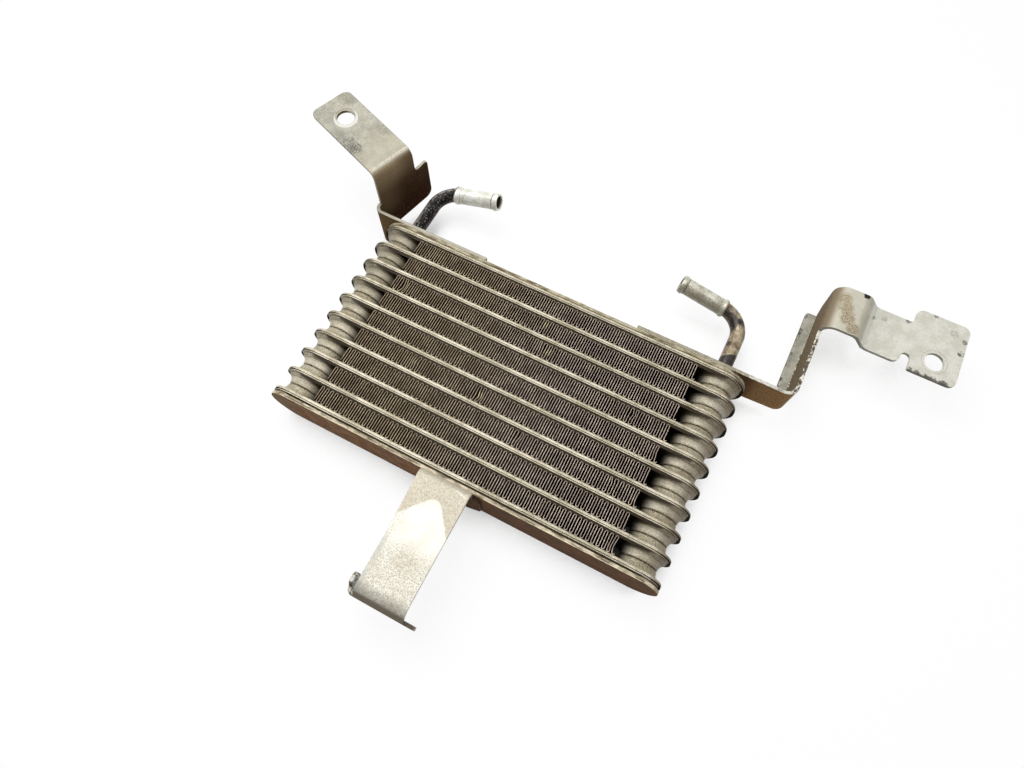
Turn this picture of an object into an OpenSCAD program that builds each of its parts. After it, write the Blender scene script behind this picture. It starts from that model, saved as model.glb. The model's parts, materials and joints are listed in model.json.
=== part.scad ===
// Plate oil cooler: ten flat tubes of drawn plates, nine rows of corrugated fins,
// two end plates, three brackets and two bent hose pipes, all brazed together.
// X runs along the tubes, Y up the stack towards the pipes, Z out of the front face.

/* [Core] */
// Number of flat tubes
tube_count = 10; // [4:1:12]
// Length of a tube over its round ends
tube_length = 230; // [200:1:280]
// Distance from one tube to the next
tube_pitch = 13; // [12:0.1:15]
// Depth of the core from back to front
core_depth = 29.6; // [28:0.1:33]
// Sheet thickness of a tube plate
plate_t = 0.7; // [0.5:0.05:0.9]
// Clear height of the oil channel in a tube
channel_h = 2; // [1.6:0.1:2.6]
// Width of the flat rim round a lower tube plate
rim_w = 1.8; // [1.4:0.1:2.2]
// Sideways step from the rim to the flat of a lower tube plate
rim_step = 0.3; // [0.2:0.05:0.5]
// Bevel along the upper edge of an upper tube plate
pan_bevel = 0.4; // [0.2:0.05:0.6]

/* [Header cups] */
// Radius of a drawn cup where it meets the next one
cup_r = 10.2; // [9:0.1:11]
// Radius of a drawn cup at its foot on the plate
cup_foot_r = 12.4; // [11.5:0.1:12.5]
// Corner radius round the mouth of a drawn cup
cup_corner = 1.1; // [0.9:0.05:1.5]
// Radius of the oil port between two cups
port_r = 6; // [4:0.1:7]

/* [Fins] */
// Length of one whole wave of an outer fin
fin_wave = 2.86; // [2.4:0.01:3.6]
// Sheet thickness of an outer fin
fin_t = 0.45; // [0.3:0.01:0.5]
// Gap between the last wave of a fin and the cup beside it
fin_end_gap = 0.5; // [0.4:0.1:4]
// Depth of a fin's edge below the rim of the tubes
fin_setback = 0.6; // [0.2:0.1:2]
// Length of one whole wave of an inner fin
inner_wave = 3; // [2.6:0.1:4]
// Sheet thickness of an inner fin
inner_t = 0.25; // [0.15:0.01:0.3]
// Gap between an inner fin and the side of the channel
inner_gap = 0.4; // [0.2:0.1:1]

/* [End plates] */
// Thickness of an end plate
end_plate_t = 2; // [1.2:0.1:3]

/* [Pipes] */
// Outer radius of a pipe
pipe_r = 4.25; // [4:0.05:4.6]
// Wall thickness of a pipe
pipe_wall = 1; // [0.8:0.05:1.2]
// Gap round a pipe in the plates that it passes through
pipe_gap = 0.1; // [0.05:0.01:0.2]
// Straight length of the left pipe above the end plate
left_pipe_rise = 28.2; // [26:0.1:36]
// Straight length of the right pipe above the end plate
right_pipe_rise = 27.3; // [26:0.1:36]
// Radius of the left pipe's bend at its middle
left_pipe_bend_r = 12.5; // [10:0.5:16]
// Radius of the right pipe's bend at its middle
right_pipe_bend_r = 14.5; // [10:0.5:16]
// Angle that the left pipe bends through
left_pipe_bend = 85; // [75:0.5:90]
// Angle that the right pipe bends through
right_pipe_bend = 88; // [75:0.5:90]
// Angle that the left hose nipple rises towards the front
left_nipple_tilt = 14; // [0:0.5:30]
// Angle that the right hose nipple rises towards the front
right_nipple_tilt = 10; // [0:0.5:30]
// Outer radius of a hose nipple
nipple_r = 4.9; // [4.7:0.05:5.2]
// Length of a hose nipple with its collar and bead
nipple_l = 28.5; // [24:0.5:36]
// Outer radius of the stop collar and of the end bead
bead_r = 5.5; // [5.3:0.05:6]
// Width of the stop collar
collar_w = 2.4; // [1.6:0.1:4]
// Width of the end bead
bead_w = 3.2; // [2:0.1:5]
// Length over which the stop collar laps the end of the pipe's bend
collar_lap = 1; // [0.6:0.1:1.4]

/* [Brackets] */
// Thickness of the bracket sheet
sheet_t = 2; // [1.5:0.1:2.5]
// Diameter of the two bolt holes
bolt_hole_d = 10.5; // [8:0.1:11]
// Length of each foot from its pipe's centre to its near end
foot_reach = 52.6; // [40:0.1:60]

/* [Left bracket] */
// Overhang of the left foot past the tubes up to its bend
left_overhang = 4; // [1:0.1:8]
// Inside radius of the bend at the end of the left foot
left_bend_r = 2.8; // [2:0.1:5]
// Angle of the upright left plate from the tubes
left_plate_angle = 69.4; // [60:0.1:90]
// Height of the left tab above the front face of the core
left_tab_rise = 26.2; // [16:0.1:40]
// Width of the left tab
left_tab_w = 27.4; // [24:0.1:32]
// Length of the left tab from the upright plate to its end
left_tab_l = 62; // [50:0.1:75]
// Distance from the end of the left tab to its bolt hole
left_hole_in = 17; // [12:0.1:20]
// Width of the upright left plate past the tab
left_ear_w = 9.3; // [7:0.1:14]
// Inside radius of the fold between the left plate and its tab
left_fold_r = 3.5; // [2:0.1:5]

/* [Right bracket] */
// Overhang of the right foot past the tubes up to its bend
right_overhang = 17.8; // [12:0.1:26]
// Inside radius of the bend at the end of the right foot
right_bend_r = 4.5; // [3:0.1:6]
// Distance from the back of the core to the back edge of the right foot
right_foot_back = 5.6; // [3:0.1:8]
// Narrowing of the right foot from the tubes' end to its bend
right_foot_taper = 2; // [0:0.1:4]
// Distance from the end plate to the near edge of the right tab
right_tab_up = 45.6; // [40:0.1:60]
// Width of the right tab's neck
right_neck_w = 28.5; // [24:0.1:34]
// Height of the folded shoulder above the front face of the core
right_shoulder = 7; // [3:0.1:8]
// Inside radius of the fold at the shoulder
right_fold_r = 6; // [4:0.1:7]
// Length of the shoulder's flat
shoulder_l = 8.5; // [3:0.1:12]
// Length of the slope from the shoulder down to the neck
joggle_l = 10; // [8:0.1:16]
// Length of the neck up to the head of the tab
right_neck_l = 19.5; // [16:0.1:30]
// Length of the head of the right tab
right_head_l = 29.4; // [26:0.1:40]
// Width of the head of the right tab
right_head_w = 40.2; // [38:0.1:50]
// Distance from the end of the right tab to its bolt hole
right_hole_in = 13.6; // [11:0.1:15]
// Distance from the lower edge of the head to its bolt hole
right_hole_up = 11; // [11:0.1:15]
// Depth of the slot between the neck and the head of the right tab
slot_l = 9.3; // [7:0.1:11]
// Width of the stiffening flange along the upright right plate
flange_w = 6; // [4:0.1:10]

/* [Hook bracket] */
// Width of the hook's tab
hook_w = 29.2; // [20:0.1:40]
// Narrowing of the hook's tab along its left edge
hook_taper = 1.6; // [0:0.1:5]
// Distance from the middle of the core to the middle of the hook
hook_offset = -2.2; // [-20:0.1:20]
// Length of the hook from the end plate to its end
hook_l = 69.4; // [50:0.1:90]
// Height of the hook's tab above the front face of the core
hook_rise = 6; // [5:0.1:10]
// Inside radius of the fold at the foot of the hook
hook_foot_r = 2; // [1.5:0.1:3]
// Inside radius of the bend at the end of the hook
hook_end_r = 7; // [4:0.1:9]
// Straight length of the lip that is bent down at the end of the hook
hook_lip = 12; // [8:0.1:15]
// Reach of the lip past the tab on its right side
lip_ear = 5; // [3:0.1:8]
// Gap between the tab's left edge and the ear beside it
lip_side_gap = 2.9; // [1:0.1:3.5]
// Inside radius of the bend between the lip and its ear
lip_ear_r = 1.5; // [1:0.1:2]
// Length of the ear along the tab's left edge
side_ear_l = 10.8; // [7:0.1:14]

/* [Hidden] */
$fn = 64;
tube_ids = [for (i = [1:tube_count]) i];
row_ids = [for (i = [1:tube_count - 1]) i];

overlap = 0.5;
sheet_lead = 1;
braze_gap = 0.01;
end_r = core_depth / 2;
cup_x = tube_length / 2 - end_r;
flat_h = channel_h / 2 + plate_t;
flat_r = end_r - rim_w - rim_step;
cup_h = tube_pitch / 2;
stack_half = (tube_count - 1) * tube_pitch / 2;
outer_y = stack_half + flat_h + end_plate_t;
pipe_bore_r = pipe_r - pipe_wall;
foot_start = cup_x - foot_reach;
alloy = [0.72, 0.70, 0.66];
fin_alloy = [0.60, 0.56, 0.53];
bracket_alloy = [0.78, 0.76, 0.71];
stained_alloy = [0.40, 0.36, 0.32];

// Height of tube i above the middle of the stack, tube 1 being next to the pipes
function tube_y(i) = stack_half - (i - 1) * tube_pitch;

// Points of an arc about c, from angle a to angle b in n steps
function arc(c, r, a, b, n) = [for (k = [0:n]) c + r * [cos(a + (b - a) * k / n), sin(a + (b - a) * k / n)]];

// Half section of a tube plate's outside. An upper plate is a pan that stands on the flat
// rim of the lower plate.
function plate_outside(up) = up
    ? [[end_r, 0], [end_r, flat_h - pan_bevel], [end_r - pan_bevel, flat_h]]
    : [[end_r, 0], [end_r, plate_t], [end_r - rim_w, plate_t], [flat_r, flat_h]];

// Half section of the oil channel in a tube plate
function plate_inside(up) =
    let (r = up ? end_r - plate_t : flat_r)
    [[r, -overlap], [r, channel_h / 4], [r - rim_step, channel_h / 2]];

// Moves the finished model so that its origin is the right bolt hole at the tab's front
module at_datum() {
    translate([-right_hole[0], -right_hole[1], -core_depth]) children();
}

// Turns a shape that is built upwards on a flat seam to stand on height y of the stack
module stacked(y, up) {
    translate([0, y, end_r]) rotate([up ? -90 : 90, 0, 0]) children();
}

// Flat shape with round ends, centred
module obround(l, w) {
    square([l - w, w], center = true);
    for (s = [-1, 1]) translate([s * (l - w) / 2, 0]) circle(d = w);
}

// Solid of a drawn plate of half section pts: straight between the two ends, turned at them
module drawn_form(pts, top) {
    mirrored = [for (k = [len(pts) - 1:-1:0]) [-pts[k][0], pts[k][1]]];
    rotate([90, 0, 90]) translate([0, 0, -cup_x]) linear_extrude(2 * cup_x)
        polygon(concat(pts, mirrored));
    for (s = [-1, 1]) translate([s * cup_x, 0, 0]) rotate_extrude()
        polygon(concat([[0, pts[0][1]]], pts, [[0, top]]));
}

// Outside of a drawn cup, a flare that narrows from the plate's flat to the cup's mouth
module cup_outside() {
    flare = cup_h - cup_corner - flat_h;
    rotate_extrude() polygon(concat(
        [[0, plate_t], [cup_foot_r, plate_t]],
        [for (k = [0:flare_steps])
            [cup_r + flare_reach * pow(1 - k / flare_steps, 2), flat_h + flare * k / flare_steps]],
        arc([cup_r - cup_corner, cup_h - cup_corner], cup_corner, 0, 90, 3),
        [[0, cup_h]]));
}
flare_steps = 4;
flare_reach = cup_foot_r - cup_r;

// Inside of a drawn cup, one sheet thickness in from its outside
module cup_inside() {
    inner_top = cup_h - plate_t;
    flare = inner_top - cup_corner;
    reach = flare_reach - plate_t / 2;
    neck = cup_r - plate_t;
    rotate_extrude() polygon(concat(
        [[0, -overlap], [neck + reach, -overlap]],
        [for (k = [0:flare_steps]) [neck + reach * pow(1 - k / flare_steps, 2), flare * k / flare_steps]],
        [[neck - cup_corner / 2, inner_top], [0, inner_top]]));
}

// Drawn tube plate on its seam, with deep cups, or shallow where it meets an end plate
module tube_plate(y, up, deep, ported) {
    port = deep ? port_r : pipe_bore_r;
    color(alloy) stacked(y, up) difference() {
        union() {
            drawn_form(plate_outside(up), flat_h);
            if (deep) for (s = [-1, 1]) translate([s * cup_x, 0, 0]) cup_outside();
        }
        drawn_form(plate_inside(up), channel_h / 2);
        if (deep) for (s = [-1, 1]) translate([s * cup_x, 0, 0]) cup_inside();
        if (ported) for (s = [-1, 1]) translate([s * cup_x, 0, 0])
            cylinder(h = cup_h + overlap, r = port);
    }
}

module upper_plate(i) {
    tube_plate(tube_y(i), true, i > 1, true);
}

module lower_plate(i) {
    tube_plate(tube_y(i), false, i < tube_count, i < tube_count);
}

// One side of a corrugated strip: its turns follow each other along x, and their
// flat crests touch y = -h / 2 and h / 2
function wave_side(turns, wave, h, t, side) =
    let (turn = wave / 4, outer = turn + t / 2, inner = turn - t / 2)
    [for (k = [0:turns - 1])
        let (up = k % 2 == 0, r = (up == (side > 0)) ? outer : inner, x = wave * (k + 0.5) / 2,
             cy = (up ? 1 : -1) * (h / 2 - outer * sin(60)))
        for (a = [180, 120, 60, 0]) [x + r * cos(a), cy + (up ? 1 : -1) * r * sin(a)]];

module corrugated(turns, wave, h, t, depth) {
    front = wave_side(turns, wave, h, t, 1);
    back = wave_side(turns, wave, h, t, -1);
    translate([-turns * wave / 4, 0, 0]) linear_extrude(depth)
        polygon(concat(front, [for (k = [len(back) - 1:-1:0]) back[k]]));
}

// Corrugated air fin between tube i and tube i + 1
module outer_fin(i) {
    fin_space = 2 * (cup_x - cup_foot_r - fin_end_gap);
    color(fin_alloy) translate([0, (tube_y(i) + tube_y(i + 1)) / 2, fin_setback])
        corrugated(floor(2 * fin_space / fin_wave), fin_wave, tube_pitch - 2 * flat_h, fin_t,
                   core_depth - 2 * fin_setback);
}

// Corrugated strip in the oil channel of tube i, its waves side by side along the tube
module inner_fin(i) {
    channel_w = 2 * (flat_r - rim_step - inner_gap);
    l = 2 * (cup_x - port_r - inner_gap);
    color(fin_alloy) translate([-l / 2, tube_y(i), end_r]) rotate([90, 0, 90]) rotate([0, 0, 90])
        corrugated(floor(2 * channel_w / inner_wave), inner_wave, channel_h, inner_t, l);
}

module end_plate(up) {
    y = (up ? 1 : -1) * (stack_half + flat_h);
    color(alloy) stacked(y, up) linear_extrude(end_plate_t) difference() {
        obround(tube_length, core_depth);
        if (up) for (s = [-1, 1]) translate([s * cup_x, 0]) circle(r = pipe_r + pipe_gap);
    }
}

// Outside of a hose nipple along z, with its stop collar lapped over the pipe and its end bead
module nipple_outside() {
    neck = nipple_l - bead_w;
    lead = bead_w / 4;
    rotate_extrude() polygon([
        [0, -collar_lap], [bead_r - lead / 2, -collar_lap], [bead_r, lead - collar_lap],
        [bead_r, collar_w - collar_lap - lead], [bead_r - lead / 2, collar_w - collar_lap],
        [nipple_r, collar_w - collar_lap], [nipple_r, neck], [bead_r, neck + lead],
        [bead_r, neck + 2 * lead], [nipple_r, nipple_l], [0, nipple_l]]);
}

// Straight part and bend of a pipe as a solid bar of radius r, from height z0
module bent_bar(r, z0, rise, bend, bend_r) {
    translate([0, 0, z0]) cylinder(h = rise - z0, r = r);
    translate([bend_r, 0, rise]) rotate([90, 0, 180]) rotate_extrude(angle = bend)
        translate([bend_r, 0]) circle(r = r);
}

// Pipe that rises from tube 1 through the end plate and bends inwards, built on the left
module bent_pipe(rise, bend, bend_r, tilt) {
    foot_rise = rise + end_plate_t;
    bend_end = [bend_r * (1 - cos(bend)), 0, foot_rise + bend_r * sin(bend)];
    translate([-cup_x, stack_half + flat_h, end_r]) rotate([0, -tilt, 0]) rotate([-90, 0, 0])
        difference() {
            union() {
                bent_bar(pipe_r, 0, foot_rise, bend, bend_r);
                translate(bend_end) rotate([0, bend, 0]) nipple_outside();
            }
            bent_bar(pipe_bore_r, -overlap, foot_rise, bend + 1, bend_r);
            translate(bend_end) rotate([0, bend, 0])
                cylinder(h = nipple_l + overlap, r = nipple_r - pipe_wall);
        }
}

module left_pipe() {
    color(stained_alloy)
        bent_pipe(left_pipe_rise, left_pipe_bend, left_pipe_bend_r, left_nipple_tilt);
}

module right_pipe() {
    color(stained_alloy) mirror([1, 0, 0])
        bent_pipe(right_pipe_rise, right_pipe_bend, right_pipe_bend_r, right_nipple_tilt);
}

// Quarter or part ring of sheet about z, its inside radius r, from the x axis
module sheet_bend(r, angle, w) {
    rotate_extrude(angle = angle) translate([r, 0]) square([sheet_t, w]);
}

// Rectangle from the origin with its two far corners rounded
module tab_outline(l, w, r) {
    square([l - r, w]);
    translate([0, r]) square([l, w - 2 * r]);
    for (y = [r, w - r]) translate([l - r, y]) circle(r = r);
}

left_bend_x = -tube_length / 2 - left_overhang;
left_tab_z = core_depth + left_tab_rise;
left_fold = left_fold_r + sheet_t;
left_bend_c = [left_bend_x, outer_y + sheet_t + left_bend_r + braze_gap];
left_bend_steps = 10;
left_corner_r = 4.5;
left_edge_step = 4;
left_edge_rise = 8.8;
ear_rise = 9.8;
ear_corner = 6;
ear_round = 2.2;
ear_notch = 2;
ear_dip = 1.5;
arc_steps = 5;

// Section of a bent sheet about the origin: an arc of inside radius r from angle a to angle b,
// with a straight length before it and another after it
function bent_section(r, a, b, before, after) =
    let (dir = b > a ? 1 : -1, n = left_bend_steps, angles = [for (k = [0:n]) a + (b - a) * k / n],
         start = -before * dir * [-sin(a), cos(a)], end = after * dir * [-sin(b), cos(b)],
         first = [cos(a), sin(a)], last = [cos(b), sin(b)], outer = r + sheet_t)
    concat(
        [outer * first + start], [for (t = angles) outer * [cos(t), sin(t)]],
        [outer * last + end, r * last + end], [for (k = [n:-1:0]) r * [cos(angles[k]), sin(angles[k])]],
        [r * first + start]);

// Upright left plate seen along its normal: s from the bend, z from the back of the core,
// with an ear past the tab and a rounded notch between the two
module left_plate_outline() {
    ear_top = core_depth + ear_rise;
    ear_s = left_tab_w + left_ear_w;
    polygon(concat(
        [[0, 0], [sheet_lead, 0], [sheet_lead, left_edge_step]],
        arc([ear_s - ear_corner, left_edge_rise + ear_corner], ear_corner, -90, 0, arc_steps),
        arc([ear_s - ear_round, ear_top - ear_round], ear_round, 0, 90, arc_steps),
        arc([left_tab_w + ear_notch, ear_top + ear_notch - ear_dip], ear_notch, -90, -180, arc_steps),
        [[left_tab_w, left_tab_z - left_fold], [0, left_tab_z - left_fold]]));
}

// Left bracket: foot, bend, upright plate, and a tab folded forwards and outwards.
// Each bent section laps a short way into the flat sheet on both sides of it.
module left_bracket() {
    foot_l = -foot_start - left_bend_x;
    color(bracket_alloy) difference() {
        translate(left_bend_c) rotate([0, 0, left_plate_angle]) {
            linear_extrude(core_depth)
                polygon(bent_section(left_bend_r, 90, 270 - left_plate_angle, sheet_lead, foot_l));
            translate([0, left_bend_r + sheet_t, 0]) rotate([90, 0, 0])
                linear_extrude(sheet_t) left_plate_outline();
            translate([0, left_bend_r + left_fold, left_tab_z - left_fold]) {
                rotate([90, 0, 90]) linear_extrude(left_tab_w)
                    polygon(bent_section(left_fold_r, 180, 90, sheet_lead, sheet_lead));
                translate([0, 0, left_fold_r]) linear_extrude(sheet_t) difference() {
                    mirror([1, 0]) rotate([0, 0, 90])
                        tab_outline(left_tab_l - left_fold, left_tab_w, left_corner_r);
                    translate([left_tab_w / 2, left_tab_l - left_fold - left_hole_in])
                        circle(d = bolt_hole_d);
                }
            }
        }
        translate([-cup_x, outer_y + sheet_t / 2, end_r]) rotate([90, 0, 0])
            cylinder(h = sheet_t + 2 * overlap, r = pipe_r + pipe_gap, center = true);
    }
}

right_bend_x = tube_length / 2 + right_overhang;
right_face_x = right_bend_x + right_bend_r;
right_bend_back = right_foot_back + right_foot_taper;
right_start_y = outer_y + sheet_t + right_bend_r;
right_tab_y = outer_y + right_tab_up;
right_tab_top = right_tab_y + right_neck_w;
right_fold_x = right_face_x + sheet_t + right_fold_r;
joggle_x = right_fold_x + shoulder_l;
neck_x = joggle_x + joggle_l;
head_x = neck_x + right_neck_l;
right_end_x = head_x + right_head_l;
head_drop = 1.5;
head_corner = 4;
notch_r = 2.6;
right_hole = [right_end_x - right_hole_in, right_tab_y + right_hole_up - head_drop];
flange_z = right_bend_back + 1.5;
flange_in = 6;
flange_end = 8;
flange_corner = 2;
flange_l = right_tab_top - flange_end - right_start_y - flange_in;
neck_corner = 4;
neck_fillet = 2.5;
slot_corner = 1.2;
plate_corner = 3;
joggle_ease = 2;
joggle_dip = 0.8;

// Upright right plate seen from the left: y up the stack, z from the back of the core.
// Its front edge steps down past the shoulder to the front of the core.
module right_plate_outline() {
    fold_z = core_depth + right_shoulder - sheet_t - right_fold_r;
    polygon([
        [right_start_y, right_bend_back], [right_start_y + flange_in, flange_z],
        [right_tab_top - flange_end, flange_z], [right_tab_top - plate_corner, core_depth / 2],
        [right_tab_top, core_depth - plate_corner], [right_tab_top, fold_z],
        [right_tab_y - plate_corner / 2, fold_z], [right_tab_y - plate_corner, core_depth - plate_corner / 2],
        [right_tab_y - 2 * plate_corner, core_depth], [right_start_y, core_depth]]);
}

// Head and neck of the right tab, seen from the front, with a slot beside the head's lower corner
module right_tab_outline() {
    head_y = right_tab_y - head_drop;
    head_top = head_y + right_head_w;
    slot_x = head_x + sheet_t / 2;
    difference() {
        polygon(concat(
            [[neck_x, right_tab_y]],
            arc([slot_x - notch_r - neck_corner, right_tab_y + neck_corner], neck_corner, -90, 0, arc_steps),
            arc([slot_x, head_y + slot_l - notch_r], notch_r, 180, 0, 2 * arc_steps),
            arc([slot_x + notch_r + slot_corner, head_y + slot_corner], slot_corner, 180, 270, arc_steps),
            arc([right_end_x - head_corner, head_y + head_corner], head_corner, -90, 0, arc_steps),
            arc([right_end_x - head_corner, head_top - head_corner], head_corner, 0, 90, arc_steps),
            arc([head_x + head_corner, head_top - head_corner], head_corner, 90, 180, arc_steps),
            arc([head_x - neck_fillet, right_tab_top + neck_fillet], neck_fillet, 0, -90, arc_steps),
            [[neck_x, right_tab_top]]));
        translate(right_hole) circle(d = bolt_hole_d);
    }
}

// Right bracket: foot, bend, upright plate with a stiffening flange, shoulder and stepped tab
module right_bracket() {
    fold = right_fold_r + sheet_t;
    shoulder_z = core_depth + right_shoulder;
    color(bracket_alloy) {
        translate([0, outer_y + sheet_t, 0]) rotate([90, 0, 0]) linear_extrude(sheet_t) difference() {
            polygon([
                [foot_start, core_depth], [foot_start, right_foot_back],
                [tube_length / 2 - end_r / 2, right_foot_back], [right_bend_x, right_bend_back],
                [right_bend_x, core_depth]]);
            translate([cup_x, end_r]) circle(r = pipe_r + pipe_gap);
        }
        translate([right_bend_x, right_start_y, right_bend_back]) rotate([0, 0, -90])
            sheet_bend(right_bend_r, 90, core_depth - right_bend_back);
        translate([right_face_x, 0, 0]) rotate([90, 0, 90]) linear_extrude(sheet_t) right_plate_outline();
        translate([right_face_x, right_start_y + flange_in, flange_z]) linear_extrude(sheet_t)
            polygon(concat(
                [[0, 0], [0, flange_l]],
                arc([flange_corner - flange_w, flange_l - flange_corner], flange_corner, 90, 180, arc_steps),
                arc([flange_corner - flange_w, flange_corner], flange_corner, 180, 270, arc_steps)));
        translate([right_fold_x, right_tab_top, shoulder_z - fold]) rotate([90, 0, 0])
            rotate([0, 0, 90]) sheet_bend(right_fold_r, 90, right_neck_w);
        translate([0, right_tab_top, 0]) rotate([90, 0, 0]) linear_extrude(right_neck_w)
            polygon([
                [right_fold_x, shoulder_z], [joggle_x + joggle_ease / 2, shoulder_z],
                [joggle_x + 1.5 * joggle_ease, shoulder_z - joggle_dip],
                [neck_x - joggle_ease, core_depth + joggle_dip], [neck_x, core_depth],
                [neck_x, core_depth - sheet_t], [neck_x - 1.5 * joggle_ease, core_depth - sheet_t + joggle_dip],
                [joggle_x + joggle_ease, shoulder_z - sheet_t - joggle_dip],
                [joggle_x, shoulder_z - sheet_t], [right_fold_x, shoulder_z - sheet_t]]);
        translate([0, 0, core_depth - sheet_t]) linear_extrude(sheet_t) right_tab_outline();
    }
}

hook_x = hook_offset - hook_w / 2;
hook_right_x = hook_x + hook_w;
hook_z = core_depth + hook_rise;
hook_back = 1;
hook_corner = 4;
lip_corner = 2;

// Hook bracket: flange on the end plate, tab away from the core, lip bent to the back,
// and an ear bent from the lip along the tab's left edge
module hook_bracket() {
    foot_fold = hook_foot_r + sheet_t;
    end_fold = hook_end_r + sheet_t;
    lip_y = -outer_y - hook_l;
    lip_z = hook_z - end_fold;
    lip_back = lip_z - hook_lip;
    end_x = hook_x + hook_taper;
    lip_left = end_x - lip_side_gap - sheet_t;
    lip_right = hook_right_x + lip_ear;
    ear_x = lip_left + sheet_t + lip_ear_r;
    ear_run = side_ear_l - sheet_t - lip_ear_r;
    ear_bend_z = lip_z - lip_corner / 2;
    color(bracket_alloy) {
        translate([0, -outer_y, 0]) rotate([90, 0, 0]) linear_extrude(sheet_t)
            polygon([
                [hook_x, hook_back + hook_corner], [hook_x + hook_corner, hook_back],
                [hook_right_x - hook_corner, hook_back],
                [hook_right_x + hook_corner, hook_back + 1.5 * hook_corner],
                [hook_right_x + hook_corner, core_depth - 1.5 * hook_corner],
                [hook_right_x, core_depth - hook_corner / 2],
                [hook_right_x, hook_z - foot_fold], [hook_x, hook_z - foot_fold]]);
        translate([hook_x, -outer_y - foot_fold, hook_z - foot_fold]) rotate([90, 0, 90])
            sheet_bend(hook_foot_r, 90, hook_w);
        translate([0, 0, hook_z - sheet_t]) linear_extrude(sheet_t) polygon([
            [hook_x, -outer_y - foot_fold], [end_x, (-outer_y + lip_y) / 2], [end_x, lip_y + end_fold],
            [hook_right_x, lip_y + end_fold], [hook_right_x, -outer_y - foot_fold]]);
        translate([end_x, lip_y + end_fold, lip_z]) rotate([90, 0, 90]) rotate([0, 0, 90])
            sheet_bend(hook_end_r, 90, hook_w - hook_taper);
        translate([0, lip_y + sheet_t, 0]) rotate([90, 0, 0]) linear_extrude(sheet_t)
            polygon(concat(
                [[ear_x, lip_back]],
                arc([lip_right - lip_corner, lip_back + lip_corner], lip_corner, -90, 0, arc_steps),
                arc([lip_right - lip_corner, lip_z - 2 * lip_corner], lip_corner, 0, 60, arc_steps),
                [[hook_right_x, lip_z], [end_x, lip_z], [end_x, ear_bend_z], [ear_x, ear_bend_z]]));
        translate([ear_x, lip_y + sheet_t + lip_ear_r, lip_back]) rotate([0, 0, 180])
            sheet_bend(lip_ear_r, 90, ear_bend_z - lip_back);
        translate([lip_left, lip_y + sheet_t + lip_ear_r, 0]) rotate([90, 0, 90]) linear_extrude(sheet_t)
            polygon([
                [0, lip_back], [ear_run, lip_back + lip_corner], [ear_run, lip_z + lip_corner],
                [ear_run - lip_corner, lip_z + 2 * lip_corner], [lip_corner, lip_z + 2 * lip_corner],
                [0, ear_bend_z]]);
    }
}

for (i = tube_ids) at_datum() upper_plate(i);
for (i = tube_ids) at_datum() lower_plate(i);
for (i = tube_ids) at_datum() inner_fin(i);
for (i = row_ids) at_datum() outer_fin(i);
at_datum() end_plate(true);  // pipe_side_end_plate
at_datum() end_plate(false);  // hook_side_end_plate
at_datum() left_bracket();
at_datum() right_bracket();
at_datum() hook_bracket();
at_datum() left_pipe();
at_datum() right_pipe();
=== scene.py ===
import json
import math

import bmesh
import bpy
from mathutils import Matrix, Vector, noise


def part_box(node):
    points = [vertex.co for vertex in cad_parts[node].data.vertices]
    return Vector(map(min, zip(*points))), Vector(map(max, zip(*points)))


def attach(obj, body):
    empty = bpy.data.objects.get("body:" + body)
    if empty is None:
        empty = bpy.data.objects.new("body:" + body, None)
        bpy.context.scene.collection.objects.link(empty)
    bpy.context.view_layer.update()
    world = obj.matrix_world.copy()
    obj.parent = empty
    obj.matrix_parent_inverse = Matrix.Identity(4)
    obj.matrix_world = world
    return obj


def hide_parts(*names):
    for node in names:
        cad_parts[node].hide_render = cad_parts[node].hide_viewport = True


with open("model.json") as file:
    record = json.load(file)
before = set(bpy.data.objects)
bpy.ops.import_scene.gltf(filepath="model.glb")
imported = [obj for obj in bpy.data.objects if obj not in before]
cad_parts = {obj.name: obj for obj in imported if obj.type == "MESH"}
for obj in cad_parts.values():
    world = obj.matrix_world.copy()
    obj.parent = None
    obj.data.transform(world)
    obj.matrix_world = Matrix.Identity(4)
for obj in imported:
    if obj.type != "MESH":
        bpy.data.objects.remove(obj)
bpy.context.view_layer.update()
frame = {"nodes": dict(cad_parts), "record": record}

MM = 0.001
MERGE_WITHIN = 0.002 * MM
SAME_POINT = 0.001 * MM

# Sizes of the part in millimetres.
TUBES = 10
TUBE_PITCH = 13.0
CORE_DEPTH = 29.6
OUTER_Y = 62.2  # outer face of an end plate, from the core's middle
FIN_WAVE = 2.86
FIN_SHEET = 0.4
FIN_STANDS_OUT = 0.45  # a drawn fin stands this far in front of its solid

# Heights above the core's back of the faces that carry marks.
FIN_FACE = 29.0
LEFT_TAB = 55.8
RIGHT_TAB = 29.6
RIGHT_SHOULDER = 36.6
HOOK_TAB = 35.6

# Radii of the rounded edges.
TUBE_ROUNDING = 0.15
END_PLATE_ROUNDING = 0.3
BRACKET_ROUNDING = 0.35
PIPE_ROUNDING = 0.25

# Angles in degrees: faces that count as one flat, folds that stay sharp, and edges that are rounded.
FLAT_WITHIN = 0.6
SHARP_FROM = 32
ROUNDED_FROM = 40

tube_low, tube_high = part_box("tube_5_upper_plate")
plate_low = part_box("hook_side_end_plate")[0]
plate_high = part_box("pipe_side_end_plate")[1]
CORE_MIDDLE = Vector(((tube_low.x + tube_high.x) / 2, (plate_low.y + plate_high.y) / 2, plate_low.z))
MOUNTS = {mount["name"]: Vector(mount["pos_m"]) for mount in frame["record"]["mounts"]}
AXES = {mount["name"]: Vector(mount["axis"]) for mount in frame["record"]["mounts"]}


def at(x, y, z):
    """Place in the row frame of a point in millimetres from the middle of the core's back."""
    return CORE_MIDDLE + Vector((x, y, z)) * MM


# ---------------------------------------------------------------- finishes

def tone(red, green, blue):
    """Linear colour of a screen colour given as 0 to 255."""
    return tuple(((c / 255 + 0.055) / 1.055) ** 2.4 for c in (red, green, blue)) + (1.0,)


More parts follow.
